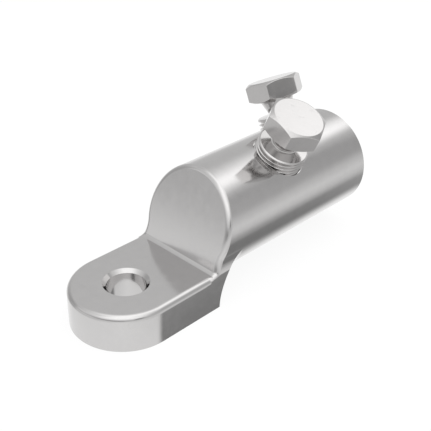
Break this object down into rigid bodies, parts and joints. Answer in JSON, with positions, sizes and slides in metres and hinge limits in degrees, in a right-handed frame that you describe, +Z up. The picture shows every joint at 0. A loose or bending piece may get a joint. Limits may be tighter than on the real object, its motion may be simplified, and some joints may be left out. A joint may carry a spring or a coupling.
{
  "type": "shear bolt cable lug",
  "caption": "Mechanical cable lug with a flat palm, a round barrel with a blind bore, and hex shear bolts that clamp the conductor.",
  "frame": {"origin": "middle of the stud hole, on the underside of the palm", "axes": "+X along the barrel towards its open mouth, +Z up out of the stud hole, away from the palm's contact face"},
  "size_m": [0.121, 0.0478, 0.0592],
  "materials": {
    "lug_metal": "tin plated, satin",
    "bolt_metal": "tin plated, turned, semi gloss"
  },
  "bodies": {
    "lug": {"lug_body": "lug_metal"},
    "first_bolt": {"shear_bolt_first": "bolt_metal"},
    "second_bolt": {"shear_bolt_second": "bolt_metal"}
  },
  "joints": [
    {"name": "first_bolt_drive", "type": "slide", "parent": "lug", "child": "first_bolt", "axis": [0, 0.4147, -0.91], "range_m": [0, 0.006]},
    {"name": "second_bolt_drive", "type": "slide", "parent": "lug", "child": "second_bolt", "axis": [0, -0.4147, -0.91], "range_m": [0, 0.006]}
  ]
}
